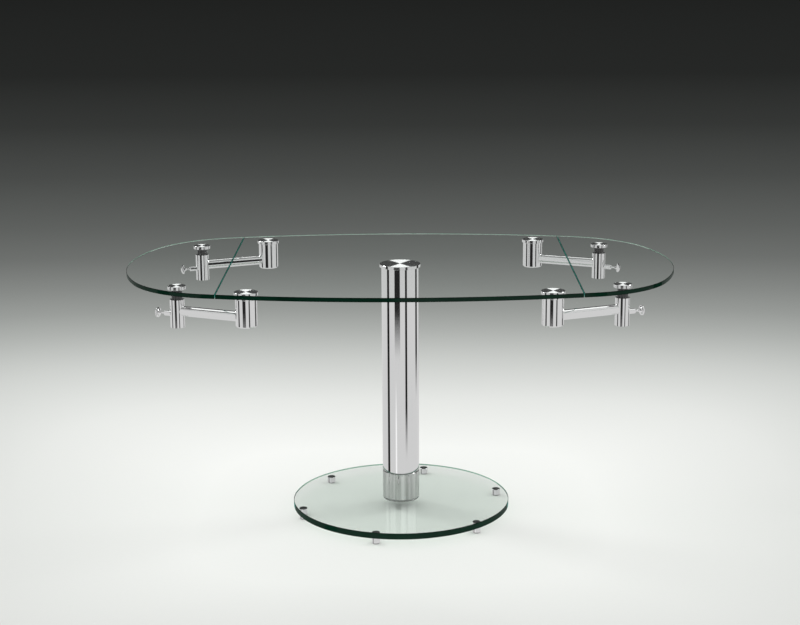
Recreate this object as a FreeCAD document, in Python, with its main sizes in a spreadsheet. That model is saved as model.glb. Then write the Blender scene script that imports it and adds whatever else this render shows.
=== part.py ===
import FreeCAD, Part

import math
import os

import Sketcher

# Extendable dining table: a glass top in three panes on one round column, which stands on a round
# glass foot plate. The middle pane is bonded to the column and to four pivots. Each end leaf rests
# on two posts at the ends of swing arms. Pulling a post's plunger frees its stem, the leaf drops by
# one pane's thickness and a clearance, and the arms carry it inwards below the middle pane.
#
# Millimetres, +Z up, origin on the floor at the column's axis, X along the top, -Y the front.

DOC = FreeCAD.newDocument("DiningTable")
SHEET = DOC.addObject("Spreadsheet::Sheet", "Sizes")
CELLS = []


# ---------------------------------------------------------------- sizes and how they are bound

class Size:
    """A size: its number now, and the sheet formula that it is bound with."""

    def __init__(self, number, formula):
        self.number = number
        self.formula = formula

    def __add__(self, other):
        return joined(self, "+", other)

    def __radd__(self, other):
        return joined(other, "+", self)

    def __sub__(self, other):
        return joined(self, "-", other)

    def __rsub__(self, other):
        return joined(other, "-", self)

    def __mul__(self, other):
        return joined(self, "*", other)

    def __rmul__(self, other):
        return joined(other, "*", self)

    def __truediv__(self, other):
        return joined(self, "/", other)

    def __neg__(self):
        return joined(0, "-", self)


def size_of(value):
    return value if isinstance(value, Size) else Size(float(value), repr(float(value)))


def joined(left, sign, right):
    """Combine two sizes with one of the four signs, in number and in formula."""
    left, right = size_of(left), size_of(right)
    number = {
        "+": lambda a, b: a + b,
        "-": lambda a, b: a - b,
        "*": lambda a, b: a * b,
        "/": lambda a, b: a / b,
    }[sign](left.number, right.number)
    return Size(number, f"({left.formula} {sign} {right.formula})")


def cosine(angle):
    return Size(math.cos(math.radians(angle.number)), f"cos({angle.formula} * 1 deg)")


def sine(angle):
    return Size(math.sin(math.radians(angle.number)), f"sin({angle.formula} * 1 deg)")


def cell(alias, number, meaning):
    """Add one driving dimension to the sheet."""
    CELLS.append(alias)
    row = len(CELLS)
    SHEET.set(f"A{row}", alias)
    SHEET.set(f"B{row}", str(number))
    SHEET.set(f"C{row}", meaning)
    SHEET.setAlias(f"B{row}", alias)
    return Size(float(number), f"Sizes.{alias}")


def bind(thing, prop, size):
    thing.setExpression(prop, size_of(size).formula)


# The top: one outline in three panes
table_height = cell("table_height", 750, "floor to the top's upper face")
top_length = cell("top_length", 1572, "whole top, end to end")
top_depth = cell("top_depth", 950, "whole top, front to back")
top_thickness = cell("top_thickness", 12, "glass of all three panes")
long_side_radius = cell("long_side_radius", 2450, "front and back edges in plan")
end_radius = cell("end_radius", 610, "left and right ends in plan")
corner_radius = cell("corner_radius", 300, "rounding between side and end in plan")
leaf_length = cell("leaf_length", 295, "top's end to the middle of a seam")
seam_gap = cell("seam_gap", 2, "air between the middle pane and a leaf")
glass_arris = cell("glass_arris", 0.8, "small bevel on the panes' edges")

# The foot plate and its feet
base_diameter = cell("base_diameter", 640, "foot plate")
base_thickness = cell("base_thickness", 18, "foot plate")
base_arris = cell("base_arris", 1, "small bevel on the foot plate's edges")
foot_height = cell("foot_height", 20, "floor to the foot plate")
foot_diameter = cell("foot_diameter", 23.5, "turned foot")
foot_edge_distance = cell("foot_edge_distance", 20, "foot plate's edge to a foot's axis")
foot_turn = cell("foot_turn", 16.4, "first foot's angle from X, degrees")
foot_count = cell("foot_count", 6, "feet on the circle")
foot_chamfer = cell("foot_chamfer", 0.6, "edge of a foot")
pad_inset = cell("pad_inset", 2.25, "foot's side to its glide's side")
pad_thickness = cell("pad_thickness", 2, "glide under a foot")
foot_disc_inset = cell("foot_disc_inset", 0.45, "foot's side to its bonding disc's side")
foot_disc_thickness = cell("foot_disc_thickness", 1.4, "bonding disc between foot and glass")

# The column
column_diameter = cell("column_diameter", 108, "column tube and collar")
column_wall = cell("column_wall", 4, "column tube and collar")
collar_height = cell("collar_height", 80, "satin collar at the column's foot")
gasket_inset = cell("gasket_inset", 1, "collar's side to the gasket's side")
gasket_thickness = cell("gasket_thickness", 3, "clear gasket on the foot plate")
flange_inset = cell("flange_inset", 3, "collar's side to the flange's side, a shadow line")
flange_step = cell("flange_step", 2.5, "flange height below the collar")
flange_spigot = cell("flange_spigot", 22, "flange's spigot inside the collar")
joint_ring_inset = cell("joint_ring_inset", 2, "collar's side to the joint ring's side")
joint_ring_step = cell("joint_ring_step", 1.6, "ring height between collar and tube")
joint_ring_wall = cell("joint_ring_wall", 5, "ring's spigots")
joint_ring_spigot = cell("joint_ring_spigot", 16, "ring's reach up and down")
tube_chamfer = cell("tube_chamfer", 0.6, "outer edges of collar and tube")
rod_diameter = cell("rod_diameter", 16, "tie rod down the column")
rod_engagement = cell("rod_engagement", 16, "tie rod's thread in flange and cap")
column_cap_overhang = cell("column_cap_overhang", 5.25, "column cap beyond the tube's side")
column_cap_boss = cell("column_cap_boss", 18, "cap's boss inside the tube")

# The discs bonded under the glass
cap_thickness = cell("cap_thickness", 9, "column cap and pivot caps")
cap_chamfer = cell("cap_chamfer", 0.5, "edges of all bonded discs")

# The pivots and arms
pivot_seam_distance = cell("pivot_seam_distance", 79, "middle of a seam to a pivot, along X")
pivot_edge_distance = cell("pivot_edge_distance", 95, "top's greatest depth to a pivot, along Y")
pivot_cap_overhang = cell("pivot_cap_overhang", 3.25, "pivot cap beyond the sleeve's side")
sleeve_diameter = cell("sleeve_diameter", 59, "turning sleeve")
sleeve_length = cell("sleeve_length", 71.7, "turning sleeve without its end ring")
end_ring_height = cell("end_ring_height", 5, "ring closing the sleeve's lower end")
end_ring_chamfer = cell("end_ring_chamfer", 3.6, "slope of the end ring")
end_ring_spigot = cell("end_ring_spigot", 3, "end ring's reach into the sleeve")
shaft_diameter = cell("shaft_diameter", 20, "fixed shaft inside the sleeve")
shaft_thread = cell("shaft_thread", 12, "threaded ends of the shaft")
shaft_in_cap = cell("shaft_in_cap", 5, "shaft's reach into the pivot cap")
bush_diameter = cell("bush_diameter", 30, "outside of the two bushes")
bush_length = cell("bush_length", 20, "each of the two bushes")
washer_clearance = cell("washer_clearance", 1, "radial, washer in the sleeve")
washer_thickness = cell("washer_thickness", 1.5, "washer under the lower bush")
nut_height = cell("nut_height", 8, "nut under the washer")
thread_end = cell("thread_end", 1, "shaft's thread beyond the nut")
thread_clearance = cell("thread_clearance", 3.2, "shaft's end above the end ring")
nut_across_corners = cell("nut_across_corners", 21.9, "nut under the washer")
arm_length = cell("arm_length", 214.5, "pivot axis to post axis")
arm_angle = cell("arm_angle", 23.2, "arm against X with the leaf out, degrees")
arm_diameter = cell("arm_diameter", 28, "round arm")
arm_wall = cell("arm_wall", 3, "round arm")
arm_above_end = cell("arm_above_end", 21, "sleeve's lower end to the arm's axis")

# The posts, their stems and caps
post_diameter = cell("post_diameter", 40, "post tube")
post_length = cell("post_length", 78, "post tube")
post_wall = cell("post_wall", 4.95, "post tube")
post_floor = cell("post_floor", 4, "closed lower end of the post tube")
post_cap_overhang = cell("post_cap_overhang", 5, "disc under a leaf beyond the post's side")
post_cap_thickness = cell("post_cap_thickness", 9.3, "disc under a leaf")
stem_end_gap = cell("stem_end_gap", 4, "stem above the post's floor with the leaf down")
stem_chamfer = cell("stem_chamfer", 1, "stem's lower edge")
stem_stud_diameter = cell("stem_stud_diameter", 14, "stem's stud in its cap")
stem_stud_length = cell("stem_stud_length", 5, "stem's stud in its cap")
drop_clearance = cell("drop_clearance", 6, "a lowered leaf below the middle pane")
keyway_width = cell("keyway_width", 6.4, "groove for the plunger's pin")
keyway_depth = cell("keyway_depth", 3, "groove for the plunger's pin")

# The plungers
pin_above_end = cell("pin_above_end", 9.9, "stem's lower end to the plunger's axis")
barrel_diameter = cell("barrel_diameter", 14, "plunger barrel")
barrel_length = cell("barrel_length", 20, "barrel outside the post")
barrel_seat = cell("barrel_seat", 1.6, "spot face in the post, its depth")
barrel_thread = cell("barrel_thread", 8, "barrel's thread in the post's wall")
barrel_chamfer = cell("barrel_chamfer", 1, "barrel's outer end")
spring_chamber = cell("spring_chamber", 9, "bore for the hidden spring")
chamber_wall = cell("chamber_wall", 1, "post's side to the spring chamber")
chamber_length = cell("chamber_length", 15, "spring chamber")
pin_diameter = cell("pin_diameter", 5, "plunger's pin and rod")
pin_entry = cell("pin_entry", 2, "pin's reach into the stem")
pin_chamfer = cell("pin_chamfer", 0.5, "pin's inner end")
pin_collar = cell("pin_collar", 8, "collar that the spring pushes")
pin_collar_length = cell("pin_collar_length", 3, "collar that the spring pushes")
knob_diameter = cell("knob_diameter", 27.5, "mushroom knob")
knob_neck_diameter = cell("knob_neck_diameter", 7, "knob where it meets the rod")
rod_show = cell("rod_show", 10, "rod between the barrel and the knob")
knob_rim = cell("knob_rim", 2.2, "straight rim of the knob")
knob_dome = cell("knob_dome", 5.5, "height of the knob's dome")

# Clearances
running_gap = cell("running_gap", 0.3, "between faces that move past each other")
fit_clearance = cell("fit_clearance", 0.05, "radial, round a shaft, stem or pin")
slip_clearance = cell("slip_clearance", 0.1, "radial, round fixed spigots")

# Diameters that follow from them
foot_disc_diameter = foot_diameter - 2 * foot_disc_inset
pad_diameter = foot_diameter - 2 * pad_inset
gasket_diameter = column_diameter - 2 * gasket_inset
flange_diameter = column_diameter - 2 * flange_inset
joint_ring_diameter = column_diameter - 2 * joint_ring_inset
column_cap_diameter = column_diameter + 2 * column_cap_overhang
column_bore = column_diameter - 2 * column_wall
spigot_diameter = column_bore - 2 * slip_clearance
pivot_cap_diameter = sleeve_diameter + 2 * pivot_cap_overhang
washer_diameter = bush_diameter - 2 * washer_clearance
post_bore = post_diameter - 2 * post_wall
post_cap_diameter = post_diameter + 2 * post_cap_overhang
stem_diameter = post_bore - 2 * fit_clearance

# Heights that follow from them
drop_travel = top_thickness + drop_clearance
base_top = foot_height + base_thickness
flange_bottom = base_top + gasket_thickness
collar_bottom = flange_bottom + flange_step
collar_top = collar_bottom + collar_height
tube_bottom = collar_top + joint_ring_step
underside = table_height - top_thickness
cap_bottom = underside - cap_thickness
sleeve_top = cap_bottom - running_gap
sleeve_bottom = sleeve_top - sleeve_length
shaft_end = sleeve_bottom + end_ring_spigot + thread_clearance
nut_bottom = shaft_end + thread_end
washer_bottom = nut_bottom + nut_height
lower_bush_bottom = washer_bottom + washer_thickness + running_gap
upper_bush_bottom = sleeve_top - bush_length
arm_axis = sleeve_bottom + arm_above_end
post_cap_top = underside - running_gap
stem_shoulder = post_cap_top - post_cap_thickness
post_top = stem_shoulder - drop_travel - running_gap
post_bottom = post_top - post_length
stem_bottom = post_bottom + post_floor + stem_end_gap + drop_travel
plunger_axis = stem_bottom + pin_above_end

# Places in plan that follow from them
seam_offset = top_length / 2 - leaf_length
foot_circle = base_diameter / 2 - foot_edge_distance
pivot_x = seam_offset - pivot_seam_distance
pivot_y = top_depth / 2 - pivot_edge_distance
post_x = pivot_x + arm_length * cosine(arm_angle)
post_y = pivot_y - arm_length * sine(arm_angle)

# Places along a plunger, from its post's axis
chamber_start = post_diameter / 2 + chamber_wall
barrel_reach = post_diameter / 2 + barrel_length
knob_start = barrel_reach + rod_show

# Corner name, its signs in X and Y, and the direction of its arm in whole turns and in arm angles
CORNERS = [
    ("front_right", 1, -1, 0, 1),
    ("back_right", 1, 1, 0, -1),
    ("front_left", -1, -1, 180, -1),
    ("back_left", -1, 1, 180, 1),
]


# ---------------------------------------------------------------- builders

def place(piece, x=0, y=0, z=0, turn=None):
    """Stand a piece at a place that follows the sheet, turned about Z by an angle in degrees."""
    if turn is not None:
        piece.Placement = FreeCAD.Placement(
            FreeCAD.Vector(), FreeCAD.Rotation(FreeCAD.Vector(0, 0, 1), turn.number)
        )
        bind(piece, "Placement.Rotation.Angle", turn)
    for letter, value in (("x", x), ("y", y), ("z", z)):
        bind(piece, f"Placement.Base.{letter}", value)
    return piece


def at_pivot(piece, corner, z=0):
    name, side, end, half_turn, sense = corner
    return place(piece, side * pivot_x, end * pivot_y, z, half_turn + sense * arm_angle)


def at_post(piece, corner, z=0):
    name, side, end, half_turn, sense = corner
    return place(piece, side * post_x, end * post_y, z, half_turn + sense * arm_angle)


def body(label):
    item = DOC.addObject("PartDesign::Body", label)
    item.Label = label
    return item


def sketch(owner, role):
    """A sketch on one of the body's own origin planes."""
    item = owner.newObject("Sketcher::SketchObject", "Sketch")
    plane = next(part for part in owner.Origin.OriginFeatures if part.Role == role)
    item.AttachmentSupport = [(plane, "")]
    item.MapMode = "FlatFace"
    return item


def pin_vertex(drawing, edge, end, x, y):
    """Hold one end of an edge, or an arc's centre, at sizes measured from the origin."""
    for kind, axis, value in (("DistanceX", -2, x), ("DistanceY", -1, y)):
        value = size_of(value)
        if value.formula == "0.0":
            drawing.addConstraint(Sketcher.Constraint("PointOnObject", edge, end, axis))
            continue
        rule = Sketcher.Constraint(kind, -1, 1, edge, end, value.number)
        index = drawing.addConstraint(rule)
        drawing.setExpression(f"Constraints[{index}]", value.formula)


def hold_radius(drawing, edge, radius):
    index = drawing.addConstraint(Sketcher.Constraint("Radius", edge, size_of(radius).number))
    drawing.setExpression(f"Constraints[{index}]", size_of(radius).formula)


def join_ends(drawing, count):
    for edge in range(count):
        following = (edge + 1) % count
        drawing.addConstraint(Sketcher.Constraint("Coincident", edge, 2, following, 1))


def vector(point):
    return FreeCAD.Vector(size_of(point[0]).number, size_of(point[1]).number, 0)


def outline(drawing, points, bends=None):
    """Draw a closed outline through the points.

    bends gives, for the edge that starts at a point's index, the radius of an arc and the side
    on which it bulges: 1 to the left of the way along the outline, -1 to the right. An arc runs
    counter-clockwise, so one that bulges to the left has its ends the other way round.
    """
    bends = bends or {}

    def ends(index):
        return (2, 1) if index in bends and bends[index][1] > 0 else (1, 2)

    edges = []
    for index, point in enumerate(points):
        start = vector(point)
        finish = vector(points[(index + 1) % len(points)])
        if index not in bends:
            edges.append(Part.LineSegment(start, finish))
            continue
        radius, side = bends[index]
        chord = finish - start
        across = FreeCAD.Vector(-chord.y, chord.x, 0).normalize()
        square = radius.number ** 2 - chord.Length ** 2 / 4
        rise = radius.number - math.sqrt(max(square, 0))
        edges.append(Part.Arc(start, (start + finish) / 2 + across * rise * side, finish))
    drawing.addGeometry(edges, False)
    for index, edge in enumerate(edges):
        following = (index + 1) % len(edges)
        leave, enter = ends(index)[1], ends(following)[0]
        drawing.addConstraint(Sketcher.Constraint("Coincident", index, leave, following, enter))
    for index, point in enumerate(points):
        pin_vertex(drawing, index, ends(index)[0], *point)
        if index in bends:
            hold_radius(drawing, index, bends[index][0])


def turned(label, points, axis="V_Axis", bends=None):
    """A turned piece: half its section as (radius, z) points, or as (x, radius) about H_Axis."""
    owner = body(label)
    section = sketch(owner, "XZ_Plane")
    outline(section, points, bends)
    turn = owner.newObject("PartDesign::Revolution", "Turn")
    turn.Profile = section
    turn.ReferenceAxis = (section, [axis])
    turn.Angle = 360
    return owner


def disc_points(diameter, bottom, top, chamfer):
    """Half the section of a disc with both edges chamfered."""
    radius = diameter / 2
    return [
        (0, bottom),
        (radius - chamfer, bottom),
        (radius, bottom + chamfer),
        (radius, top - chamfer),
        (radius - chamfer, top),
        (0, top),
    ]


def tube_points(diameter, bore, bottom, top, chamfer):
    """Half the section of a tube with both outer edges chamfered."""
    radius = diameter / 2
    return [
        (bore / 2, bottom),
        (radius - chamfer, bottom),
        (radius, bottom + chamfer),
        (radius, top - chamfer),
        (radius - chamfer, top),
        (bore / 2, top),
    ]


def cylinder(diameter, length, z=0):
    item = DOC.addObject("Part::Cylinder", "Cylinder")
    bind(item, "Radius", diameter / 2)
    bind(item, "Height", length)
    return place(item, z=z)


def bar(diameter, start, length, z):
    """A cylinder that lies along X."""
    item = DOC.addObject("Part::Cylinder", "Bar")
    item.Placement = FreeCAD.Placement(
        FreeCAD.Vector(), FreeCAD.Rotation(FreeCAD.Vector(0, 1, 0), 90)
    )
    bind(item, "Radius", diameter / 2)
    bind(item, "Height", length)
    return place(item, x=start, z=z)


def block(x, y, z, length, width, height):
    item = DOC.addObject("Part::Box", "Block")
    bind(item, "Length", length)
    bind(item, "Width", width)
    bind(item, "Height", height)
    return place(item, x, y, z)


def fused(label, pieces):
    item = DOC.addObject("Part::MultiFuse", label)
    item.Label = label
    item.Shapes = pieces
    return item


def grouped(label, pieces):
    """Separate solids under one label."""
    item = DOC.addObject("Part::Compound", label)
    item.Label = label
    item.Links = pieces
    return item


def cut(label, base, tool):
    item = DOC.addObject("Part::Cut", label)
    item.Label = label
    item.Base = base
    item.Tool = tool
    return item


def edges_where(shape, wanted):
    """The names of a shape's edges for which wanted(edge) is true."""
    return [f"Edge{n + 1}" for n, edge in enumerate(shape.Edges) if wanted(edge)]


LEVEL_TOLERANCE = 1e-6


def is_level(edge):
    return edge.BoundBox.ZLength < LEVEL_TOLERANCE


# ---------------------------------------------------------------- the glass top

# About where a side and an end of the outline meet, in half lengths and half depths. The sketch's
# own rules then move the corner to its exact place.
CORNER_GUESS = (0.88, 0.8)


def whole_outline(drawing):
    """The closed top in plan: two long arcs and two end arcs, centred on the axes."""
    half_length = top_length / 2
    half_depth = top_depth / 2
    side_centre = long_side_radius - half_depth
    end_centre = end_radius - half_length
    reach_x = CORNER_GUESS[0] * half_length.number
    reach_y = CORNER_GUESS[1] * half_depth.number

    def arc(cx, cy, radius, start, finish):
        first = math.atan2(start[1] - cy, start[0] - cx)
        last = math.atan2(finish[1] - cy, finish[0] - cx)
        if last < first:
            last += 2 * math.pi
        circle = Part.Circle(FreeCAD.Vector(cx, cy, 0), FreeCAD.Vector(0, 0, 1), radius)
        return Part.ArcOfCircle(circle, first, last)

    corners = [(reach_x, -reach_y), (reach_x, reach_y), (-reach_x, reach_y), (-reach_x, -reach_y)]
    arcs = [
        (-end_centre, 0, end_radius),
        (0, -side_centre, long_side_radius),
        (end_centre, 0, end_radius),
        (0, side_centre, long_side_radius),
    ]
    for index, (cx, cy, radius) in enumerate(arcs):
        start, finish = corners[index], corners[(index + 1) % 4]
        piece = arc(size_of(cx).number, size_of(cy).number, radius.number, start, finish)
        drawing.addGeometry(piece, False)
    join_ends(drawing, 4)
    for index, (cx, cy, radius) in enumerate(arcs):
        pin_vertex(drawing, index, 3, cx, cy)
        hold_radius(drawing, index, radius)


def rectangle(drawing, x_from, x_to, half_width):
    """A rectangle across the top, as one more closed outline of the drawing."""
    corners = [(x_from, -half_width), (x_to, -half_width), (x_to, half_width), (x_from, half_width)]
    first = drawing.GeometryCount
    for index, corner in enumerate(corners):
        following = corners[(index + 1) % 4]
        drawing.addGeometry(Part.LineSegment(vector(corner), vector(following)), False)
    for index, corner in enumerate(corners):
        rule = Sketcher.Constraint("Coincident", first + index, 2, first + (index + 1) % 4, 1)
        drawing.addConstraint(rule)
        pin_vertex(drawing, first + index, 1, *corner)


def pane(label, waste):
    """One pane: the whole top, rounded at its corners, without the strips in waste."""
    owner = body(label)
    plan = sketch(owner, "XY_Plane")
    whole_outline(plan)
    slab = owner.newObject("PartDesign::Pad", "Slab")
    slab.Profile = plan
    bind(slab, "Length", top_thickness)
    DOC.recompute()

    corners = owner.newObject("PartDesign::Fillet", "Corners")
    corners.Base = (slab, edges_where(slab.Shape, lambda edge: not is_level(edge)))
    bind(corners, "Radius", corner_radius)
    DOC.recompute()

    strips = sketch(owner, "XY_Plane")
    for x_from, x_to in waste:
        rectangle(strips, x_from, x_to, top_depth)
    seam = owner.newObject("PartDesign::Pocket", "Seam")
    seam.Profile = strips
    seam.Reversed = True
    bind(seam, "Length", top_thickness)
    DOC.recompute()

    arris = owner.newObject("PartDesign::Chamfer", "Arris")
    arris.Base = (seam, edges_where(seam.Shape, is_level))
    bind(arris, "Size", glass_arris)
    return place(owner, z=underside)


def glass_top():
    inner = seam_offset - seam_gap / 2
    outer = seam_offset + seam_gap / 2
    beyond = top_length
    return [
        pane("main_glass", [(-beyond, -inner), (inner, beyond)]),
        pane("leaf_glass_right", [(-beyond, outer)]),
        pane("leaf_glass_left", [(-outer, beyond)]),
    ]


# ---------------------------------------------------------------- the foot plate and the column

def ring_of(label, diameter, bottom, height, chamfer=None):
    """The same disc at every foot, as one group."""
    owner = body(label)
    plan = sketch(owner, "XY_Plane")
    centre = FreeCAD.Vector(foot_circle.number, 0, 0)
    plan.addGeometry(Part.Circle(centre, FreeCAD.Vector(0, 0, 1), diameter.number / 2), False)
    pin_vertex(plan, 0, 3, foot_circle, 0)
    hold_radius(plan, 0, diameter / 2)
    disc = owner.newObject("PartDesign::Pad", "Disc")
    disc.Profile = plan
    bind(disc, "Length", height)
    DOC.recompute()

    features = [disc]
    if chamfer is not None:
        edge = owner.newObject("PartDesign::Chamfer", "Edge")
        edge.Base = (disc, edges_where(disc.Shape, is_level))
        bind(edge, "Size", chamfer)
        features.append(edge)
        DOC.recompute()
    ring = owner.newObject("PartDesign::PolarPattern", "Ring")
    ring.Originals = features
    ring.Axis = (plan, ["N_Axis"])
    ring.Angle = 360
    bind(ring, "Occurrences", foot_count)
    owner.Tip = ring
    return place(owner, z=bottom, turn=foot_turn)


def foot_plate():
    disc_bottom = foot_height - foot_disc_thickness
    turned_height = disc_bottom - pad_thickness
    return [
        turned("base_glass", disc_points(base_diameter, foot_height, base_top, base_arris)),
        ring_of("foot_pads", pad_diameter, 0, pad_thickness),
        ring_of("feet", foot_diameter, pad_thickness, turned_height, foot_chamfer),
        ring_of("foot_discs", foot_disc_diameter, disc_bottom, foot_disc_thickness),
    ]


def column():
    rod_radius = rod_diameter / 2
    rod_bottom = collar_bottom + flange_spigot - rod_engagement
    boss_bottom = cap_bottom - column_cap_boss
    rod_top = boss_bottom + rod_engagement
    bore_end = rod_top + running_gap
    ring_inner = spigot_diameter / 2 - joint_ring_wall

    gasket = turned(
        "base_gasket",
        [
            (0, base_top),
            (gasket_diameter / 2, base_top),
            (gasket_diameter / 2, flange_bottom),
            (0, flange_bottom),
        ],
    )
    flange = turned(
        "base_flange",
        [
            (0, flange_bottom),
            (flange_diameter / 2, flange_bottom),
            (flange_diameter / 2, collar_bottom),
            (spigot_diameter / 2, collar_bottom),
            (spigot_diameter / 2, collar_bottom + flange_spigot),
            (rod_radius, collar_bottom + flange_spigot),
            (rod_radius, rod_bottom),
            (0, rod_bottom),
        ],
    )
    collar = turned(
        "base_collar",
        tube_points(column_diameter, column_bore, collar_bottom, collar_top, tube_chamfer),
    )
    ring = turned(
        "joint_ring",
        [
            (ring_inner, collar_top - joint_ring_spigot),
            (spigot_diameter / 2, collar_top - joint_ring_spigot),
            (spigot_diameter / 2, collar_top),
            (joint_ring_diameter / 2, collar_top),
            (joint_ring_diameter / 2, tube_bottom),
            (spigot_diameter / 2, tube_bottom),
            (spigot_diameter / 2, tube_bottom + joint_ring_spigot),
            (ring_inner, tube_bottom + joint_ring_spigot),
        ],
    )
    tube = turned(
        "column_tube",
        tube_points(column_diameter, column_bore, tube_bottom, cap_bottom, tube_chamfer),
    )
    rod = turned(
        "tie_rod",
        [(0, rod_bottom), (rod_radius, rod_bottom), (rod_radius, rod_top), (0, rod_top)],
    )
    radius = column_cap_diameter / 2
    cap = turned(
        "column_cap",
        [
            (rod_radius, boss_bottom),
            (spigot_diameter / 2, boss_bottom),
            (spigot_diameter / 2, cap_bottom),
            (radius - cap_chamfer, cap_bottom),
            (radius, cap_bottom + cap_chamfer),
            (radius, underside - cap_chamfer),
            (radius - cap_chamfer, underside),
            (0, underside),
            (0, bore_end),
            (rod_radius, bore_end),
        ],
    )
    return [gasket, flange, collar, ring, tube, rod, cap]


# ---------------------------------------------------------------- one pivot and its arm

def studded_cap(label, diameter, bottom, top, stud, depth):
    """A bonded disc with a blind hole below for a stud."""
    radius = diameter / 2
    return turned(
        label,
        [
            (stud / 2, bottom),
            (radius - cap_chamfer, bottom),
            (radius, bottom + cap_chamfer),
            (radius, top - cap_chamfer),
            (radius - cap_chamfer, top),
            (0, top),
            (0, bottom + depth),
            (stud / 2, bottom + depth),
        ],
    )


def pivot(corner):
    """The cap and shaft that are fixed to the middle pane."""
    name = corner[0]
    cap = studded_cap(
        f"pivot_cap_{name}", pivot_cap_diameter, cap_bottom, underside, shaft_thread, shaft_in_cap
    )
    thread = shaft_thread / 2
    shoulder = shaft_diameter / 2
    shaft = turned(
        f"pivot_shaft_{name}",
        [
            (0, shaft_end),
            (thread, shaft_end),
            (thread, washer_bottom + washer_thickness),
            (shoulder, washer_bottom + washer_thickness),
            (shoulder, cap_bottom),
            (thread, cap_bottom),
            (thread, cap_bottom + shaft_in_cap),
            (0, cap_bottom + shaft_in_cap),
        ],
    )
    return [at_pivot(cap, corner), at_pivot(shaft, corner)]


def pivot_nuts():
    """A nut and a washer on each pivot shaft, as one group."""
    group = []
    for corner in CORNERS:
        hexagon = DOC.addObject("Part::Prism", "Hexagon")
        hexagon.Polygon = 6
        bind(hexagon, "Circumradius", nut_across_corners / 2)
        bind(hexagon, "Height", nut_height)
        place(hexagon, z=nut_bottom)
        nut = cut("Nut", hexagon, cylinder(shaft_thread, nut_height, nut_bottom))
        blank = cylinder(washer_diameter, washer_thickness, washer_bottom)
        washer = cut("Washer", blank, cylinder(shaft_thread, washer_thickness, washer_bottom))
        group += [at_pivot(nut, corner), at_pivot(washer, corner)]
    return grouped("pivot_nuts", group)


def bushes(label):
    """The two bushes pressed into a sleeve."""
    bore = shaft_diameter + 2 * fit_clearance
    rings = []
    for bottom in (lower_bush_bottom, upper_bush_bottom):
        outside = cylinder(bush_diameter, bush_length, bottom)
        rings.append(cut("Bush", outside, cylinder(bore, bush_length, bottom)))
    return grouped(label, rings)


def sleeve(name):
    """The turning sleeve and the ring that closes its lower end."""
    radius = sleeve_diameter / 2
    casing = turned(
        f"pivot_sleeve_{name}",
        [
            (bush_diameter / 2, sleeve_bottom),
            (radius, sleeve_bottom),
            (radius, sleeve_top - tube_chamfer),
            (radius - tube_chamfer, sleeve_top),
            (bush_diameter / 2, sleeve_top),
        ],
    )
    bottom = sleeve_bottom - end_ring_height
    spigot = bush_diameter / 2 - slip_clearance
    straight = end_ring_height - end_ring_chamfer
    end_ring = turned(
        f"sleeve_end_ring_{name}",
        [
            (0, bottom),
            (radius - end_ring_chamfer, bottom),
            (radius - slip_clearance, sleeve_bottom - straight),
            (radius - slip_clearance, sleeve_bottom),
            (spigot, sleeve_bottom),
            (spigot, sleeve_bottom + end_ring_spigot),
            (0, sleeve_bottom + end_ring_spigot),
        ],
    )
    return [casing, end_ring]


def arm_tube(label):
    """The round arm, coped to the sleeve at one end and to the post at the other."""
    whole = bar(arm_diameter, 0, arm_length, arm_axis)
    bore = bar(arm_diameter - 2 * arm_wall, 0, arm_length, arm_axis)
    tall = arm_diameter * 2
    at_sleeve = cylinder(sleeve_diameter, tall, arm_axis - arm_diameter)
    at_tube = cylinder(post_diameter, tall, arm_axis - arm_diameter)
    place(at_tube, x=arm_length, z=arm_axis - arm_diameter)
    return cut(label, whole, fused("Cope", [bore, at_sleeve, at_tube]))


def post_tube(label):
    """The post, closed below, with the plunger's spot face and threaded hole on its outer side."""
    radius = post_diameter / 2
    whole = cylinder(post_diameter, post_length, post_bottom)
    bore = cylinder(post_bore, post_length, post_bottom + post_floor)
    spot = bar(barrel_diameter + 2 * slip_clearance, radius - barrel_seat, radius, plunger_axis)
    hole = bar(barrel_thread, 0, post_diameter, plunger_axis)
    return cut(label, whole, fused("Holes", [bore, spot, hole]))


def plunger_barrel(label):
    """The fixed barrel: it screws into the post's wall and holds the pin and its spring."""
    seat = post_diameter / 2 - barrel_seat
    inner_end = post_bore / 2 + running_gap
    pin_bore = pin_diameter / 2 + fit_clearance
    chamber = spring_chamber / 2
    return turned(
        label,
        [
            (inner_end, pin_bore),
            (inner_end, barrel_thread / 2),
            (seat, barrel_thread / 2),
            (seat, barrel_diameter / 2),
            (barrel_reach - barrel_chamfer, barrel_diameter / 2),
            (barrel_reach, barrel_diameter / 2 - barrel_chamfer),
            (barrel_reach, pin_bore),
            (chamber_start + chamber_length, pin_bore),
            (chamber_start + chamber_length, chamber),
            (chamber_start, chamber),
            (chamber_start, pin_bore),
        ],
        axis="H_Axis",
    )


def arm(corner):
    """Everything that swings about one pivot."""
    name = corner[0]
    turning = sleeve(name)
    turning.append(bushes(f"pivot_bushes_{name}"))
    turning.append(arm_tube(f"arm_tube_{name}"))
    for piece in turning:
        at_pivot(piece, corner)
    post = at_post(post_tube(f"post_tube_{name}"), corner)
    barrel = at_post(plunger_barrel(f"plunger_barrel_{name}"), corner, plunger_axis)
    return turning + [post, barrel]


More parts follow.
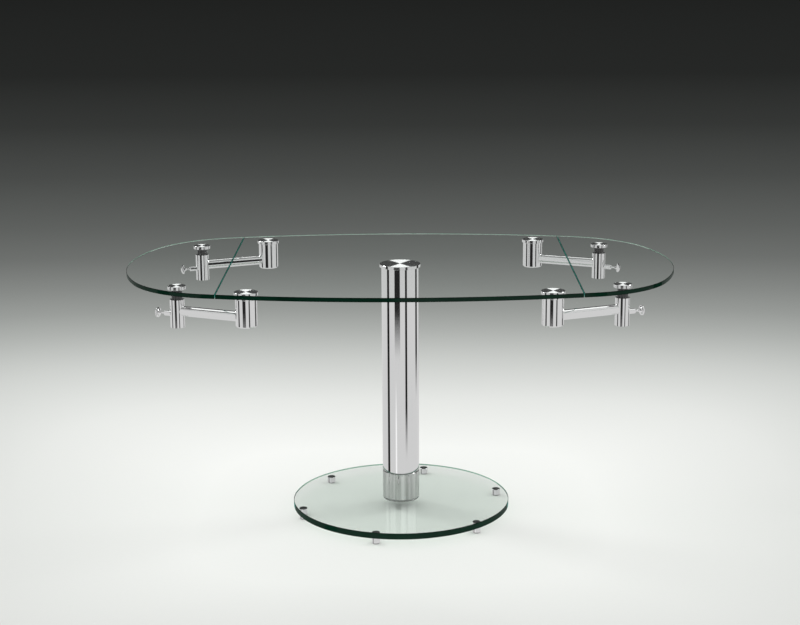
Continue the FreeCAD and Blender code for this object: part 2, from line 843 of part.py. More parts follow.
def plunger_knob(corner):
    """The pin, its collar, the rod and the mushroom knob, all one turned piece."""
    nose = stem_diameter / 2 - pin_entry
    pin = pin_diameter / 2
    collar_start = chamber_start + running_gap
    neck = knob_neck_diameter / 2
    rim = knob_diameter / 2
    flare = rim - neck
    rim_start = knob_start + flare
    rim_end = rim_start + knob_rim
    dome_radius = (rim * rim + knob_dome * knob_dome) / (2 * knob_dome)
    knob = turned(
        f"plunger_knob_{corner[0]}",
        [
            (nose, 0),
            (nose, pin - pin_chamfer),
            (nose + pin_chamfer, pin),
            (collar_start, pin),
            (collar_start, pin_collar / 2),
            (collar_start + pin_collar_length, pin_collar / 2),
            (collar_start + pin_collar_length, pin),
            (knob_start, pin),
            (knob_start, neck),
            (rim_start, rim),
            (rim_end, rim),
            (rim_end + knob_dome, 0),
        ],
        axis="H_Axis",
        bends={8: (flare, -1), 10: (dome_radius, 1)},
    )
    return at_post(knob, corner, plunger_axis)


def stem(corner):
    """The dark stem with its keyway, and the cap that carries the leaf."""
    name = corner[0]
    radius = stem_diameter / 2
    stud = stem_stud_diameter / 2
    stud_top = stem_shoulder + stem_stud_length
    shape = turned(
        "Stem",
        [
            (0, stem_bottom),
            (radius - stem_chamfer, stem_bottom),
            (radius, stem_bottom + stem_chamfer),
            (radius, stem_shoulder),
            (stud, stem_shoulder),
            (stud, stud_top),
            (0, stud_top),
        ],
    )
    low = plunger_axis - keyway_width / 2
    keyway = block(
        radius - keyway_depth, -keyway_width / 2, low, keyway_depth * 2, keyway_width,
        drop_travel + keyway_width,
    )
    cap = studded_cap(
        f"post_cap_{name}", post_cap_diameter, stem_shoulder, post_cap_top,
        stem_stud_diameter, stem_stud_length,
    )
    return [at_post(cut(f"stem_{name}", shape, keyway), corner), at_post(cap, corner)]


# ---------------------------------------------------------------- build, check and write

def build():
    nodes = glass_top() + foot_plate() + column()
    nodes.append(pivot_nuts())
    for corner in CORNERS:
        nodes += pivot(corner) + arm(corner) + stem(corner) + [plunger_knob(corner)]
    return nodes


def check(nodes):
    for item in DOC.Objects:
        if "Invalid" in item.State or "Error" in item.State:
            raise RuntimeError(f"{item.Label} ({item.Name}) failed: {item.State}")
    for node in nodes:
        if node.Shape.isNull() or not node.Shape.isValid():
            raise RuntimeError(f"{node.Label} has no valid shape")
        if node.Shape.Volume <= 0 or not node.Shape.Solids:
            raise RuntimeError(f"{node.Label} is not a solid")


def write(nodes):
    os.makedirs("parts", exist_ok=True)
    for node in nodes:
        node.Shape.exportStep(os.path.join("parts", f"{node.Label}.step"))


NODES = build()
DOC.recompute()
check(NODES)
write(NODES)
print(len(NODES), "sub-parts written")
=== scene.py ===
import math

import bpy
from mathutils import Matrix, Vector


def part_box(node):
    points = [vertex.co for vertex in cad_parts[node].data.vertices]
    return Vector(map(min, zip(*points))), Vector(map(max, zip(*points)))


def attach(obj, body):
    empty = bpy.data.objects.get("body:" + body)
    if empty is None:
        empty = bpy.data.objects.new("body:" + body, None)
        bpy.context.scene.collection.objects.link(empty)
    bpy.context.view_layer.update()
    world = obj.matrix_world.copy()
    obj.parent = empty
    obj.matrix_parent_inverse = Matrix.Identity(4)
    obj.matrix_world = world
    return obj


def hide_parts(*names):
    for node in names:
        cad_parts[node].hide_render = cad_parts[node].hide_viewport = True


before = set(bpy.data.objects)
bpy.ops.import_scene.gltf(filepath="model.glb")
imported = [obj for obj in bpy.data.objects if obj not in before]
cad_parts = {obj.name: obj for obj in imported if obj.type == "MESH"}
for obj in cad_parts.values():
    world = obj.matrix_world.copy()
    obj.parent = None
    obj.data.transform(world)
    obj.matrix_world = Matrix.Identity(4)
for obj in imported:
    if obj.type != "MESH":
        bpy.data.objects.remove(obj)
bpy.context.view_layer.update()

# An extendable dining table: a glass top in three panes on one polished column and a round glass
# foot plate. Metres, +Z up, the origin on the floor at the column's axis, X along the top and -Y
# the front.

# ---------------------------------------------------------------- camera
# A long lens almost five metres away, square on to the table's front. It stands at eye height and
# is tilted down, so that the top and the foot plate both show as flat ovals.

# In millimetres
LENS, SENSOR = 76.49, 36
CAMERA_PLACE = Vector((0.022, -4.834, 1.710))
CAMERA_DOWN, CAMERA_TURN, CAMERA_ROLL = (math.radians(angle) for angle in (12.91, 0.268, -0.296))
MOST_BOUNCES = 32

camera = bpy.data.objects.new("camera", bpy.data.cameras.new("camera"))
bpy.context.scene.collection.objects.link(camera)
camera.data.lens = LENS
camera.data.sensor_width = SENSOR
camera.matrix_world = (
    Matrix.Translation(CAMERA_PLACE)
    @ Matrix.Rotation(CAMERA_TURN, 4, "Z")
    @ Matrix.Rotation(math.pi / 2 - CAMERA_DOWN, 4, "X")
    @ Matrix.Rotation(CAMERA_ROLL, 4, "Z")
)
bpy.context.scene.camera = camera
bpy.context.scene.view_settings.view_transform = "Standard"
# A ray crosses both faces of each pane and goes to and fro between polished parts
cycles = bpy.context.scene.cycles
cycles.max_bounces = cycles.transmission_bounces = cycles.glossy_bounces = MOST_BOUNCES


# ---------------------------------------------------------------- floor
# A wide, plain, pale studio floor. Its colour is painted darker with distance, to dark grey, as a
# painted fall-off of the light, the same way on every side, so that it meets the unlit room
# behind it without a line.

FLOOR_REACH = 90
FLOOR_SQUARENESS = 4
GRAIN_SCALE, GRAIN_SHARE = 90, 0.02
# Metres from the column, and the floor's painted light there: the colour of a painted fall-off
FLOOR_PAINTED_FALLOFF = [
    (0.6, 0.84), (1.2, 0.70), (1.8, 0.53), (2.3, 0.385), (2.7, 0.30), (3.2, 0.235), (3.95, 0.165),
    (4.9, 0.126), (6.9, 0.077), (9.9, 0.042), (15, 0.023), (36, 0.017),
]
# Red and blue are this share of green where the painted fall-off is darkest and rise by this much
# to full light, so that the painted shade leans a little to green
RED_SHARE, RED_RISE = 0.94, 0.06
BLUE_SHARE, BLUE_RISE = 0.95, 0.03


class Number:
    """A number that varies over a surface. An expression on it adds the Math nodes."""

    def __init__(self, nodes, socket):
        self.nodes = nodes
        self.socket = socket

    def math(self, operation, *others):
        values = dict(enumerate([self, *others]))
        return self.nodes.node("ShaderNodeMath", {"operation": operation}, values).number()

    def __add__(self, other):
        return self.math("ADD", other)

    def __sub__(self, other):
        return self.math("SUBTRACT", other)

    def __rsub__(self, other):
        return self * -1 + other

    def __mul__(self, other):
        return self.math("MULTIPLY", other)

    def __truediv__(self, other):
        return self.math("DIVIDE", other)

    def __pow__(self, other):
        return self.math("POWER", other)

    __radd__ = __add__
    __rmul__ = __mul__

    def held(self):
        """Kept between 0 and 1."""
        return self.math("MINIMUM", 1).math("MAXIMUM", 0)

    def above(self, edge, blur):
        """0 below the edge and 1 above it, with a straight rise of the given width between."""
        return ((self - edge) / blur + 0.5).held()

    def within(self, low, high, blur):
        return self.above(low, blur) * (1 - self.above(high, blur))


class Nodes:
    """The nodes of a material, of the studio's light or of a shape."""

    def __init__(self, tree):
        self.tree = tree
        tree.nodes.clear()

    def node(self, kind, settings=None, values=None):
        """Add a node: its settings first, then the values or links of its sockets."""
        new = self.tree.nodes.new(kind)
        for name, setting in (settings or {}).items():
            if name == "stops":
                self.set_stops(new.color_ramp, setting)
            else:
                setattr(new, name, setting)
        for key, value in (values or {}).items():
            value = getattr(value, "socket", value)
            if isinstance(value, bpy.types.NodeSocket):
                self.tree.links.new(value, new.inputs[key])
            else:
                new.inputs[key].default_value = value
        return Made(self, new)

    @staticmethod
    def set_stops(ramp, stops):
        """Stops are pairs of a place and a grey level."""
        for _ in range(len(stops) - len(ramp.elements)):
            ramp.elements.new(1)
        for element, (place, light) in zip(ramp.elements, stops):
            element.position = place
            element.color = (light, light, light, 1)


class Made:
    """A new node, with its outputs as links or as numbers."""

    def __init__(self, nodes, new):
        self.nodes = nodes
        self.outputs = new.outputs

    def link(self, key=0):
        return self.outputs[key]

    def number(self, key=0):
        return Number(self.nodes, self.outputs[key])


def new_finish(name):
    """A new material and its nodes."""
    material = bpy.data.materials.new(name)
    material.use_nodes = True
    return material, Nodes(material.node_tree)


def grey(number):
    """The colour socket of an even grey."""
    parts = {part: number for part in range(3)}
    return number.nodes.node("ShaderNodeCombineColor", None, parts).link()


def varied(share, noise):
    """A factor of 1 that goes up and down with the noise, by half the share each way."""
    return 1 - share / 2 + share * noise


def new_piece(name, mesh):
    """A new object in the scene, with this mesh."""
    piece = bpy.data.objects.new(name, mesh)
    bpy.context.scene.collection.objects.link(piece)
    return piece


floor_paint, paint = new_finish("studio_floor")
point = paint.node("ShaderNodeTexCoord").link("Object")
split = paint.node("ShaderNodeSeparateXYZ", None, {0: point})
across, along = (split.number(axis).math("ABSOLUTE") ** FLOOR_SQUARENESS for axis in "XY")
distance = (across + along) ** (1 / FLOOR_SQUARENESS)
# The ramp paints the fall-off of the light. It reads the root of the distance, which gives the
# near floor the most room
farthest = FLOOR_PAINTED_FALLOFF[-1][0]
stops = [(math.sqrt(reach / farthest), light) for reach, light in FLOOR_PAINTED_FALLOFF]
fall = paint.node("ShaderNodeValToRGB", {"stops": stops}, {0: (distance / farthest) ** 0.5})
grain = paint.node("ShaderNodeTexNoise", None, {"Vector": point, "Scale": GRAIN_SCALE}).number()
level = fall.number() * varied(GRAIN_SHARE, grain)
parts = {
    0: level * (RED_SHARE + RED_RISE * level),
    1: level,
    2: level * (BLUE_SHARE + BLUE_RISE * level),
}
colour = paint.node("ShaderNodeCombineColor", None, parts)
matt = paint.node("ShaderNodeBsdfDiffuse", None, {0: colour.link()})
paint.node("ShaderNodeOutputMaterial", None, {0: matt.link()})

square = [(-1, -1), (1, -1), (1, 1), (-1, 1)]
floor = new_piece("floor", bpy.data.meshes.new("floor"))
floor.data.from_pydata([(x * FLOOR_REACH, y * FLOOR_REACH, 0) for x, y in square], [], [range(4)])
floor.data.materials.append(floor_paint)
floor.visible_glossy = False


# ---------------------------------------------------------------- studio light
# Even light from all sides, and two soft boxes up behind the table. Polished parts mirror a ring
# of white boards with dark gaps and a grey ceiling. Behind the table the studio is dim up to a
# bright strip high up.

WHITE = (1, 1, 1, 1)
DARK_TINT = (0.93, 1, 0.95, 1)
ROOM_LIGHT, ROOM_DARK = 0.90, 0.0168
BOARD_LIGHT, GAP_LIGHT = 0.70, 0.017
# Each gap's bearing from the front and its width, and how low down it reaches, in degrees
BOARD_GAPS = [(-18, 34, -13.7), (37, 13, -17), (118, 19, -15), (-80, 17, -40), (166, 6, -15)]
# A lighter bar low down, below the first gap
LOW_BAR_BEARING, LOW_BAR_WIDTH, LOW_BAR_TOP, LOW_BAR_LIGHT = -28, 9, -16, 0.35
EDGE_BLUR = 1.5
BEHIND, BEHIND_BLUR = 110, 24
# Behind the table, from each height in degrees up to the next, how bright the studio is
BACK_LIGHT = [(-2, 0.07), (48, 1.30), (66, 0.35)]
CEILING, CEILING_LIGHT = 60, 0.30
BAND_BLUR = 3
# Each soft box's place and its watts
SOFT_BOXES = {"soft_box_left": ((-2.5, 1.6, 3.0), 34), "soft_box_right": ((2.9, 1.1, 2.6), 24)}
SOFT_BOX_SIDE = 1.0

world = bpy.data.worlds.new("studio")
bpy.context.scene.world = world
world.use_nodes = True
room = Nodes(world.node_tree)
toward = room.node("ShaderNodeTexCoord").link("Generated")
split = room.node("ShaderNodeSeparateXYZ", None, {0: toward})
height = split.number("Z").math("ARCSINE") * math.degrees(1)
bearing = split.number("X").math("ARCTAN2", split.number("Y") * -1) * math.degrees(1)



def sector(middle, width):
    """1 over this many degrees of the bearing, and 0 elsewhere."""
    return bearing.within(middle - width / 2, middle + width / 2, EDGE_BLUR)


gaps = 0
for middle, width, lowest in BOARD_GAPS:
    gaps = sector(middle, width) * height.above(lowest, EDGE_BLUR) + gaps
low_bar = sector(LOW_BAR_BEARING, LOW_BAR_WIDTH) * (1 - height.above(LOW_BAR_TOP, EDGE_BLUR))
boards = BOARD_LIGHT + (GAP_LIGHT - BOARD_LIGHT) * gaps + LOW_BAR_LIGHT * low_bar
front = boards + (CEILING_LIGHT - boards) * height.above(CEILING, BAND_BLUR)
back = boards
for lowest, light in BACK_LIGHT:
    back = back + (light - back) * height.above(lowest, BAND_BLUR)
behind = bearing.math("ABSOLUTE").above(BEHIND, BEHIND_BLUR)
mirrored = front + (back - front) * behind

path = room.node("ShaderNodeLightPath")
in_mirror = path.number("Glossy Depth").math("MINIMUM", 1)
in_view = path.number("Is Camera Ray").math("MAXIMUM", path.number("Is Transmission Ray"))
lighting, backdrop, reflection = (
    room.node("ShaderNodeBackground", None, {0: tint, 1: strength}).link()
    for tint, strength in ((WHITE, ROOM_LIGHT), (DARK_TINT, ROOM_DARK), (grey(mirrored), 1))
)
seen = room.node("ShaderNodeMixShader", None, {0: in_view, 1: lighting, 2: backdrop}).link()
whole = room.node("ShaderNodeMixShader", None, {0: in_mirror, 1: seen, 2: reflection}).link()
room.node("ShaderNodeOutputWorld", None, {0: whole})


def soft_box(name, place, watts):
    """A square lamp that faces the column's foot."""
    lamp = bpy.data.lights.new(name, "AREA")
    lamp.size = SOFT_BOX_SIDE
    lamp.energy = watts
    box = bpy.data.objects.new(name, lamp)
    bpy.context.scene.collection.objects.link(box)
    box.location = place
    box.rotation_euler = (-Vector(place)).to_track_quat("-Z", "Y").to_euler()
    box.visible_glossy = False


for name, (place, watts) in SOFT_BOXES.items():
    soft_box(name, place, watts)


# ---------------------------------------------------------------- foot plate
# The round plate that the table stands on: clear float glass, 18 mm thick, with a ground and
# polished edge. Glass is nearly colourless through its thickness and green along its length.

GLASS_INDEX, GLASS_DENSITY, GLASS_PASSES = 1.52, 2.2, (0.10, 0.60, 0.38, 1)
SHADOW_TINT = (0.97, 0.98, 0.97, 1)
# The edges' colours are painted light and shade: the glass's own green painted as dark as an edge
# shows, a painted light line along the seams and a painted lighter green seen from inside
EDGE_TINT_AND_SHADE, SEAM_PAINTED_LIGHT = (0.003, 0.022, 0.012, 1), (0.025, 0.22, 0.18, 1)
INNER_PAINTED_LIGHT = (0.36, 0.60, 0.48, 1)
# A surface is a face where its normal is more upright than this, and the rest is edge
FACE_UPRIGHT, FACE_BLUR = 0.5, 0.2
# An edge takes the seams' painted light line where its normal is this nearly along X, this near the
# column
SEAM_SIDEWAYS, SEAM_PLACE, SEAM_BLUR = 0.98, 0.55, 0.01
EDGE_GLINT_SCALE, EDGE_GLINT_SHARE, EDGE_ROUGH = 14, 1.0, 0.6
WIPE_SCALE, WIPE_SHARE = 9, 0.3
EDGE_SHINE, PLATE_SHINE = 0.26, 0.5


def clear_glass(name, shine):
    """Glass whose faces have this share of a full mirror shine. Its edges are painted: the glass's
    own green, painted as dark as an edge shows in shade.
    """
    material, glass = new_finish(name)
    where = glass.node("ShaderNodeTexCoord")
    point, normal = where.link("Object"), where.link("Normal")
    upright = glass.node("ShaderNodeSeparateXYZ", None, {0: normal}).number("Z").math("ABSOLUTE")
    face = upright.above(FACE_UPRIGHT, FACE_BLUR)

    through = glass.node("ShaderNodeBsdfRefraction", None, {"Roughness": 0.0, "IOR": GLASS_INDEX})
    across = glass.node("ShaderNodeSeparateXYZ", None, {0: point}).number("X").math("ABSOLUTE")
    sideways = glass.node("ShaderNodeSeparateXYZ", None, {0: normal}).number("X").math("ABSOLUTE")
    painted_seam_line = sideways.above(SEAM_SIDEWAYS, SEAM_BLUR) * (1 - across.above(SEAM_PLACE, SEAM_BLUR))
    # Painted glints: patches of the edges' colour painted lighter and darker
    spots = glass.node(
        "ShaderNodeTexNoise", None, {"Vector": point, "Scale": EDGE_GLINT_SCALE}
    ).number()
    green = glass.node(
        "ShaderNodeMix", {"data_type": "RGBA"}, {0: painted_seam_line, 6: EDGE_TINT_AND_SHADE, 7: SEAM_PAINTED_LIGHT}
    )
    green = glass.node(
        "ShaderNodeMix", {"data_type": "RGBA", "blend_type": "MULTIPLY"},
        {0: 1.0, 6: green.link(2), 7: grey(varied(EDGE_GLINT_SHARE, spots))},
    )
    # Seen from inside, through a face, an edge is painted a lighter green, a painted stand-in for
    # light through the glass
    painted_inner_light = glass.node("ShaderNodeNewGeometry").number("Backfacing") * (1 - painted_seam_line)
    green = glass.node(
        "ShaderNodeMix", {"data_type": "RGBA"}, {0: painted_inner_light, 6: green.link(2), 7: INNER_PAINTED_LIGHT}
    )
    edge = glass.node(
        "ShaderNodeBsdfPrincipled", None,
        {"Base Color": green.link(2), "Roughness": EDGE_ROUGH, "Specular IOR Level": 0.0},
    )
    body = glass.node("ShaderNodeMixShader", None, {0: face, 1: edge.link(), 2: through.link()})
    mirror = glass.node("ShaderNodeBsdfGlossy", None, {"Roughness": 0.0})
    fresnel = glass.node("ShaderNodeFresnel", None, {"IOR": GLASS_INDEX}).number()
    cloud = glass.node("ShaderNodeTexNoise", None, {"Vector": point, "Scale": WIPE_SCALE}).number()
    shining = fresnel * varied(WIPE_SHARE, cloud) * (EDGE_SHINE + (shine - EDGE_SHINE) * face)
    pane = glass.node("ShaderNodeMixShader", None, {0: shining, 1: body.link(), 2: mirror.link()})

    # Light on its way to other surfaces goes straight through
    clear = glass.node("ShaderNodeBsdfTransparent", None, {0: SHADOW_TINT})
    path = glass.node("ShaderNodeLightPath")
    lighting = path.number("Is Shadow Ray").math("MAXIMUM", path.number("Is Diffuse Ray"))
    surface = glass.node("ShaderNodeMixShader", None, {0: lighting, 1: pane.link(), 2: clear.link()})
    inside = glass.node("ShaderNodeVolumeAbsorption", None, {0: GLASS_PASSES, 1: GLASS_DENSITY})
    glass.node("ShaderNodeOutputMaterial", None, {0: surface.link(), 1: inside.link()})
    return material


def give(material, *nodes):
    """Put a finish on carried-over nodes."""
    for node in nodes:
        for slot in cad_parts[node].material_slots:
            slot.material = material


give(clear_glass("foot_plate_glass", PLATE_SHINE), "base_glass")


# ---------------------------------------------------------------- feet
# Six small turned and chromed feet under the foot plate. Each is bonded to the glass through a
# dark rubber disc and stands on a rubber glide.

CHROME_TONE, CHROME_ROUGH = 0.86, 0.035
CLOUD_SCALE, CLOUD_DETAIL, CLOUD_SHARE = 45, 5, 1.2
TONE_SHARE = 0.03
# How fast the lines of a turned surface change along X, Y and Z
TURNED = (3, 3, 900)
CHROME_LINES, LINE_DEPTH = 0.05, 0.00002
RUBBER_TONE, RUBBER_ROUGH, RUBBER_GRAIN, RUBBER_DEPTH = 0.022, 0.7, 900, 0.0001
SPECK_STRENGTH, SPECK_TONE_SHARE, SPECK_ROUGH_SHARE = 0.4, 0.6, 0.3
FOOT_COUNT, FOOT_TURN, FOOT_EDGE_DISTANCE = 6, math.radians(16.4), 0.020
FOOT_DISC_RADIUS, FOOT_DISC_CHAMFER = 0.0113, 0.0001
# Bonded faces stand this far apart, a film's thickness
FILM = 0.00005
# A disc's profile has this many more steps after its rings: out over the upper chamfer, down the
# side, in over the lower chamfer and in to the middle
END_STEPS = 4
SIDE_COUNT = 96
SHARP_ANGLE = math.radians(20)
MERGE_DISTANCE = 0.000002


def metal(
    name, tone=CHROME_TONE, rough=CHROME_ROUGH, lines=TURNED, line_strength=CHROME_LINES,
    tone_and_reflection_share=TONE_SHARE,
):
    """Metal with the faint lines of its last polish along the tool's way. Where their share of tone
    is large, the lines also paint reflected stripes.
    """
    material, skin = new_finish(name)
    point = skin.node("ShaderNodeTexCoord").link("Object")
    cloud = skin.node(
        "ShaderNodeTexNoise", None, {"Vector": point, "Scale": CLOUD_SCALE, "Detail": CLOUD_DETAIL}
    ).number()
    stretched = skin.node("ShaderNodeMapping", None, {"Vector": point, "Scale": lines}).link()
    line = skin.node("ShaderNodeTexNoise", None, {"Vector": stretched, "Scale": 1}).number()
    marks = skin.node(
        "ShaderNodeBump", None, {"Strength": line_strength, "Distance": LINE_DEPTH, "Height": line}
    )
    surface = skin.node(
        "ShaderNodeBsdfPrincipled", None,
        {
            "Base Color": grey(tone * varied(tone_and_reflection_share, line)),
            "Metallic": 1.0,
            "Roughness": rough * varied(CLOUD_SHARE, (cloud + line) / 2),
            "Normal": marks.link(),
        },
    )
    skin.node("ShaderNodeOutputMaterial", None, {0: surface.link()})
    return material


def black(name, tone, rough, grain, depth):
    """Moulded rubber or plastic with a fine matt grain."""
    material, skin = new_finish(name)
    point = skin.node("ShaderNodeTexCoord").link("Object")
    speck = skin.node("ShaderNodeTexNoise", None, {"Vector": point, "Scale": grain}).number()
    bumps = skin.node(
        "ShaderNodeBump", None, {"Strength": SPECK_STRENGTH, "Distance": depth, "Height": speck}
    )
    surface = skin.node(
        "ShaderNodeBsdfPrincipled", None,
        {
            "Base Color": grey(tone * varied(SPECK_TONE_SHARE, speck)),
            "Roughness": rough * varied(SPECK_ROUGH_SHARE, speck),
            "Normal": bumps.link(),
        },
    )
    skin.node("ShaderNodeOutputMaterial", None, {0: surface.link()})
    return material


def turned_discs_tree():
    """Round discs with chamfered edges and turned rings on top, set out on a circle."""
    tree = bpy.data.node_groups.new("turned_discs", "GeometryNodeTree")
    kinds = {
        "Radius": "Float", "Bottom": "Float", "Top": "Float", "Chamfer": "Float",
        "Rings": "Int", "Ring Depth": "Float", "Count": "Int", "Circle": "Float", "Turn": "Float",
        "Middle": "Vector", "Material": "Material",
    }
    for name, kind in kinds.items():
        tree.interface.new_socket(name, in_out="INPUT", socket_type=f"NodeSocket{kind}")
    tree.interface.new_socket("Mesh", in_out="OUTPUT", socket_type="NodeSocketGeometry")
    shape = Nodes(tree)
    given = shape.node("NodeGroupInput")
    radius, bottom, top, chamfer, rings, depth, count, circle, turn = (
        given.number(name) for name, kind in kinds.items() if kind in ("Float", "Int")
    )

    # A grid of unit squares, wound round into a disc. Each of its rows is one point of the profile,
    # from the middle of the top outwards and back in along the underside.
    last = rings * 2
    steps = last + END_STEPS
    grid = shape.node(
        "GeometryNodeMeshGrid", None,
        {
            "Size X": steps, "Size Y": SIDE_COUNT,
            "Vertices X": steps + 1, "Vertices Y": SIDE_COUNT + 1,
        },
    )
    flat_place = shape.node("GeometryNodeInputPosition").link()
    place = shape.node("ShaderNodeSeparateXYZ", None, {0: flat_place})
    row = (place.number("X") + steps / 2).math("ROUND")
    angle = (place.number("Y") / SIDE_COUNT + 0.5) * math.tau
    edge, side, under, inward = ((row - last - step).held() for step in range(END_STEPS))
    flat = radius - chamfer
    reach = flat * (row / last).held() + chamfer * (edge - under) - flat * inward
    fall = (
        depth * row.math("MODULO", 2) * (1 - edge)
        + chamfer * (edge + under)
        + (top - bottom - 2 * chamfer) * side
    )
    place = shape.node(
        "ShaderNodeCombineXYZ", None,
        {0: reach * angle.math("COSINE"), 1: reach * angle.math("SINE"), 2: top - fall},
    )
    disc = shape.node("GeometryNodeSetPosition", None, {0: grid.link(), "Position": place.link()})
    disc = shape.node(
        "GeometryNodeMergeByDistance", None, {0: disc.link(), "Distance": MERGE_DISTANCE}
    )

    heading = shape.node("GeometryNodeInputIndex").number() / count * math.tau + turn
    spot = shape.node(
        "ShaderNodeCombineXYZ", None,
        {0: circle * heading.math("COSINE"), 1: circle * heading.math("SINE")},
    )
    spot = shape.node("ShaderNodeVectorMath", None, {0: spot.link(), 1: given.link("Middle")})
    spots = shape.node("GeometryNodePoints", None, {"Count": count, "Position": spot.link()})
    discs = shape.node("GeometryNodeInstanceOnPoints", None, {0: spots.link(), 2: disc.link()})
    discs = shape.node("GeometryNodeRealizeInstances", None, {0: discs.link()})
    discs = shape.node(
        "GeometryNodeSetMaterial", None, {0: discs.link(), "Material": given.link("Material")}
    )
    shape.node("NodeGroupOutput", None, {0: discs.link()})
    return tree


TURNED_DISCS = turned_discs_tree()


def turned_discs(name, stands_for, body, sizes):
    """Make discs from their sizes, in place of a carried-over node."""
    maker = new_piece(name + "_maker", bpy.data.meshes.new(name + "_maker"))
    modifier = maker.modifiers.new("turned", "NODES")
    modifier.node_group = TURNED_DISCS
    for socket in TURNED_DISCS.interface.items_tree:
        if socket.in_out == "INPUT":
            modifier[socket.identifier] = sizes[socket.name]
    graph = bpy.context.evaluated_depsgraph_get()
    mesh = bpy.data.meshes.new_from_object(maker.evaluated_get(graph))
    bpy.data.objects.remove(maker)
    mesh.shade_smooth()
    mesh.set_sharp_from_angle(angle=SHARP_ANGLE)
    piece = new_piece(name, mesh)
    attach(piece, body)
    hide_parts(stands_for)
    return piece


chrome = metal("chrome")
rubber = black("rubber", RUBBER_TONE, RUBBER_ROUGH, RUBBER_GRAIN, RUBBER_DEPTH)
give(chrome, "feet")
give(rubber, "foot_pads")
low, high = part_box("foot_discs")
plate_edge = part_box("base_glass")[1][0]
turned_discs("foot_bonding_discs", "foot_discs", "table", {
    "Radius": FOOT_DISC_RADIUS, "Bottom": low[2] + FILM, "Top": high[2] - FILM,
    "Chamfer": FOOT_DISC_CHAMFER, "Rings": 1, "Ring Depth": 0.0,
    "Count": FOOT_COUNT, "Circle": plate_edge - FOOT_EDGE_DISTANCE, "Turn": FOOT_TURN,
    "Middle": (0, 0, 0), "Material": rubber,
})


# ---------------------------------------------------------------- gasket and flange
# A clear soft gasket lies on the foot plate. A steel flange, a little smaller than the column,
# stands on it and leaves a dark shadow line round the column's foot.

GASKET_TINT, GASKET_ROUGH, GASKET_INDEX = (0.92, 0.94, 0.93, 1), 0.12, 1.42
GASKET_CLOUD_SHARE = 1.0
GASKET_THICKNESS, GASKET_CHAMFER = 0.003, 0.0003
PLAIN_TONE, PLAIN_ROUGH, PLAIN_LINES = 0.42, 0.34, 0.3


def soft_clear(name):
    """Clear soft plastic, a little unevenly matt."""
    material, skin = new_finish(name)
    point = skin.node("ShaderNodeTexCoord").link("Object")
    cloud = skin.node("ShaderNodeTexNoise", None, {"Vector": point, "Scale": CLOUD_SCALE}).number()
    surface = skin.node(
        "ShaderNodeBsdfPrincipled", None,
        {
            "Base Color": GASKET_TINT,
            "Roughness": GASKET_ROUGH * varied(GASKET_CLOUD_SHARE, cloud),
            "IOR": GASKET_INDEX,
            "Transmission Weight": 1.0,
        },
    )
    skin.node("ShaderNodeOutputMaterial", None, {0: surface.link()})
    return material


def one_disc(node, thickness, chamfer, rings, depth, material):
    """The sizes of a single disc at the top of a carried-over node, a film short of its ends."""
    low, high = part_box(node)
    return {
        "Radius": (high[0] - low[0]) / 2,
        "Bottom": high[2] - thickness + FILM, "Top": high[2] - FILM,
        "Chamfer": chamfer, "Rings": rings, "Ring Depth": depth,
        "Count": 1, "Circle": 0.0, "Turn": 0.0,
        "Middle": ((low[0] + high[0]) / 2, (low[1] + high[1]) / 2, 0), "Material": material,
    }


turned_discs(
    "clear_gasket_disc", "base_gasket", "table",
    one_disc("base_gasket", GASKET_THICKNESS, GASKET_CHAMFER, 1, 0.0, soft_clear("clear_gasket")),
)
plain_steel = metal("plain_steel", PLAIN_TONE, PLAIN_ROUGH, line_strength=PLAIN_LINES)
give(plain_steel, "base_flange")


# ---------------------------------------------------------------- collar
# A length of steel tube over the flange, finely brushed to a satin. Its upright streaks are partly
# the brushing and partly painted reflections of the studio's stripes. A black plastic ring centres
# the column tube on it and shows as a thin dark line.

# The satin's upright streaks are painted strong in tone: partly its brushing and partly painted
# reflections of the studio's stripes
SATIN_TONE, SATIN_ROUGH, SATIN_LINES, SATIN_STREAKS_AND_REFLECTIONS = 0.88, 0.06, 0.02, 1.1
# How fast the upright lines of the brushing change along X, Y and Z
BRUSHED = (75, 75, 1.5)
PLASTIC_TONE, PLASTIC_ROUGH, PLASTIC_GRAIN, PLASTIC_DEPTH = 0.018, 0.45, 1500, 0.00004

satin = metal("satin_steel", SATIN_TONE, SATIN_ROUGH, BRUSHED, SATIN_LINES, SATIN_STREAKS_AND_REFLECTIONS)
give(satin, "base_collar")
plastic = black("plastic", PLASTIC_TONE, PLASTIC_ROUGH, PLASTIC_GRAIN, PLASTIC_DEPTH)
give(plastic, "joint_ring")


# ---------------------------------------------------------------- column
# One polished, chromed steel tube between the collar's ring and the disc under the top. A tie rod
# inside it is screwed into that disc and into the flange.

give(chrome, "column_tube")
give(plain_steel, "tie_rod")


# ---------------------------------------------------------------- bonded discs of the middle pane
# Bright turned metal discs: one on the column, which carries the pane, and one for each of the
# four pivots. They are bonded to the glass from below, and their turned rings show through it.

CORNERS = ("front_right", "back_right", "front_left", "back_left")
RING_PITCH, RING_SLOPE = 0.0010, math.radians(23)
DISC_THICKNESS, DISC_CHAMFER = 0.009, 0.0005
DISC_TONE, DISC_ROUGH = 0.84, 0.11

turned_face = metal("turned_face", DISC_TONE, DISC_ROUGH, line_strength=0.0)


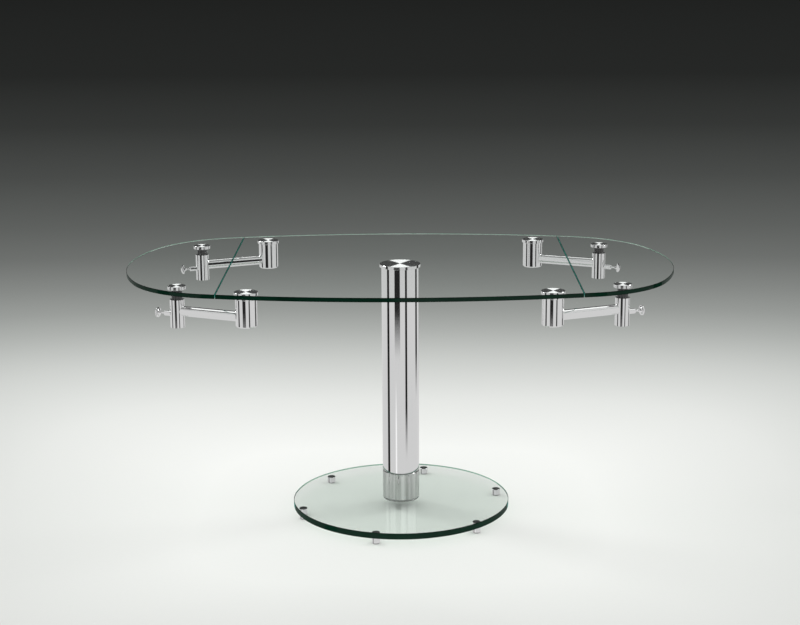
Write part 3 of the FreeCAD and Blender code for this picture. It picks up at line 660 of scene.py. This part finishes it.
def bonded_disc(name, node, body, thickness=DISC_THICKNESS):
    """A disc with turned rings over all of its face, in place of a carried-over one."""
    low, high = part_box(node)
    rings = round(((high[0] - low[0]) / 2 - DISC_CHAMFER) / RING_PITCH)
    depth = RING_PITCH / 2 * math.tan(RING_SLOPE)
    sizes = one_disc(node, thickness, DISC_CHAMFER, rings, depth, turned_face)
    turned_discs(name, node, body, sizes)


bonded_disc("column_disc", "column_cap", "table")
for corner in CORNERS:
    bonded_disc(f"pivot_disc_{corner}", f"pivot_cap_{corner}", "table")


# ---------------------------------------------------------------- top
# Three panes of clear float glass, 12 mm thick: a middle pane and two end leaves, cut from one
# outline with a straight seam between them, all edges polished.

TOP_SHINE = 0.12

give(clear_glass("top_glass", TOP_SHINE), "main_glass", "leaf_glass_right", "leaf_glass_left")


# ---------------------------------------------------------------- pivots
# A polished sleeve turns on a fixed shaft, between two plastic bushes, and a washer and nut hold it
# up. A chamfered ring closes its lower end.

for corner in CORNERS:
    give(chrome, f"pivot_sleeve_{corner}", f"sleeve_end_ring_{corner}")
    give(plain_steel, f"pivot_shaft_{corner}")
    give(plastic, f"pivot_bushes_{corner}")
give(plain_steel, "pivot_nuts")


# ---------------------------------------------------------------- arms and posts
# Round chromed tube from each sleeve to its post, welded and polished before plating. The post is
# a tube closed below.

for corner in CORNERS:
    give(chrome, f"arm_tube_{corner}", f"post_tube_{corner}")


# ---------------------------------------------------------------- stems and leaf discs
# A dark steel stem slides in each post. It carries a turned disc, as bright as those of the middle
# pane, on which the leaf lies.

DARK_TONE, DARK_ROUGH, DARK_LINES = 0.10, 0.32, 0.4
LEAF_DISC_THICKNESS = 0.0093

dark_steel = metal("dark_steel", DARK_TONE, DARK_ROUGH, line_strength=DARK_LINES)
for corner in CORNERS:
    give(dark_steel, f"stem_{corner}")
    bonded_disc(f"leaf_disc_{corner}", f"post_cap_{corner}", f"stem_{corner}", LEAF_DISC_THICKNESS)


# ---------------------------------------------------------------- plungers
# A sprung pin in a barrel screwed into each post locks the stem. A mushroom knob on its rod pulls
# it out. Both are turned and chromed.

for corner in CORNERS:
    give(chrome, f"plunger_barrel_{corner}", f"plunger_knob_{corner}")
